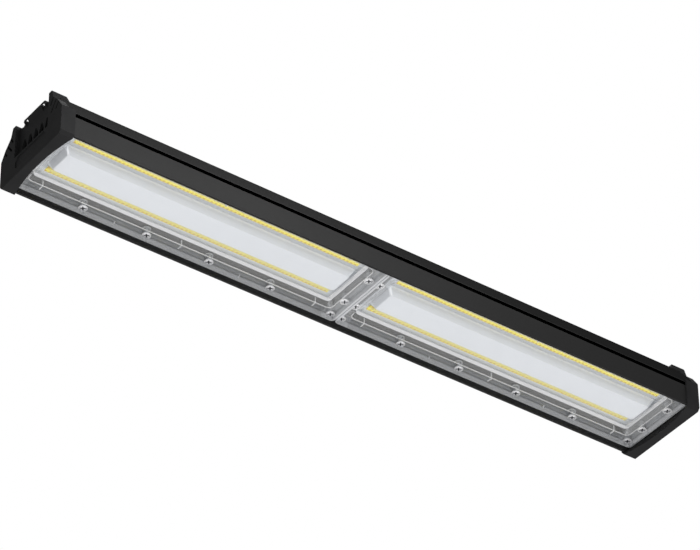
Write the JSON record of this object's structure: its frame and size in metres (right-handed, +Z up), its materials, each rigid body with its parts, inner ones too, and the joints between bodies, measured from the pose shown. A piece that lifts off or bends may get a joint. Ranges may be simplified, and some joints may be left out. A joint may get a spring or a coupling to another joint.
{
  "type": "linear LED high-bay light fixture",
  "caption": "Long slim light fixture: finned black housing with end caps and hanging plates, and clear covers over rows of light-emitting packages on its underside.",
  "frame": {"origin": "middle of the rectangle on which the bottom rims of the end caps stand", "axes": "+X along the fixture, +Y across it, +Z up towards the hanging plates; the light shines towards -Z"},
  "size_m": [0.718, 0.1, 0.0745],
  "materials": {
    "black_steel": "satin powder coat",
    "bright_steel": "bright zinc",
    "clear_plastic": "clear, moulded",
    "connector_plastic": "smooth",
    "driver_case": "satin",
    "black_plastic": "fine moulded texture",
    "grey_rubber": "matt",
    "black_rubber": "matt",
    "black_aluminium": "fine satin powder coat",
    "white_board": "white solder mask",
    "yellow_phosphor": "smooth",
    "white_reflector": "smooth white"
  },
  "bodies": {
    "root": {"channel_lid": "black_steel", "channel_lid_screws": "bright_steel", "clamp_bar_left": "bright_steel", "clamp_bar_right": "bright_steel", "clear_cover_left": "clear_plastic", "clear_cover_right": "clear_plastic", "connector_block": "connector_plastic", "cover_screws_left": "bright_steel", "cover_screws_right": "bright_steel", "driver_left": "driver_case", "driver_right": "driver_case", "driver_screws": "bright_steel", "end_cap_left": "black_plastic", "end_cap_right": "black_plastic", "end_cap_screws_left": "bright_steel", "end_cap_screws_right": "bright_steel", "gasket_left": "grey_rubber", "gasket_right": "grey_rubber", "gland_body": "black_plastic", "gland_dome_nut": "black_plastic", "gland_locknut": "black_plastic", "gland_seal": "black_rubber", "grommet_left": "black_rubber", "grommet_right": "black_rubber", "hanging_plate_left": "black_steel", "hanging_plate_right": "black_steel", "hanging_plate_screws_left": "bright_steel", "hanging_plate_screws_right": "bright_steel", "housing": "black_aluminium", "led_board_left": "white_board", "led_board_right": "white_board", "led_row_far_left": "yellow_phosphor", "led_row_far_right": "yellow_phosphor", "led_row_near_left": "yellow_phosphor", "led_row_near_right": "yellow_phosphor", "reflector_left": "white_reflector", "reflector_right": "white_reflector"}
  },
  "joints": []
}
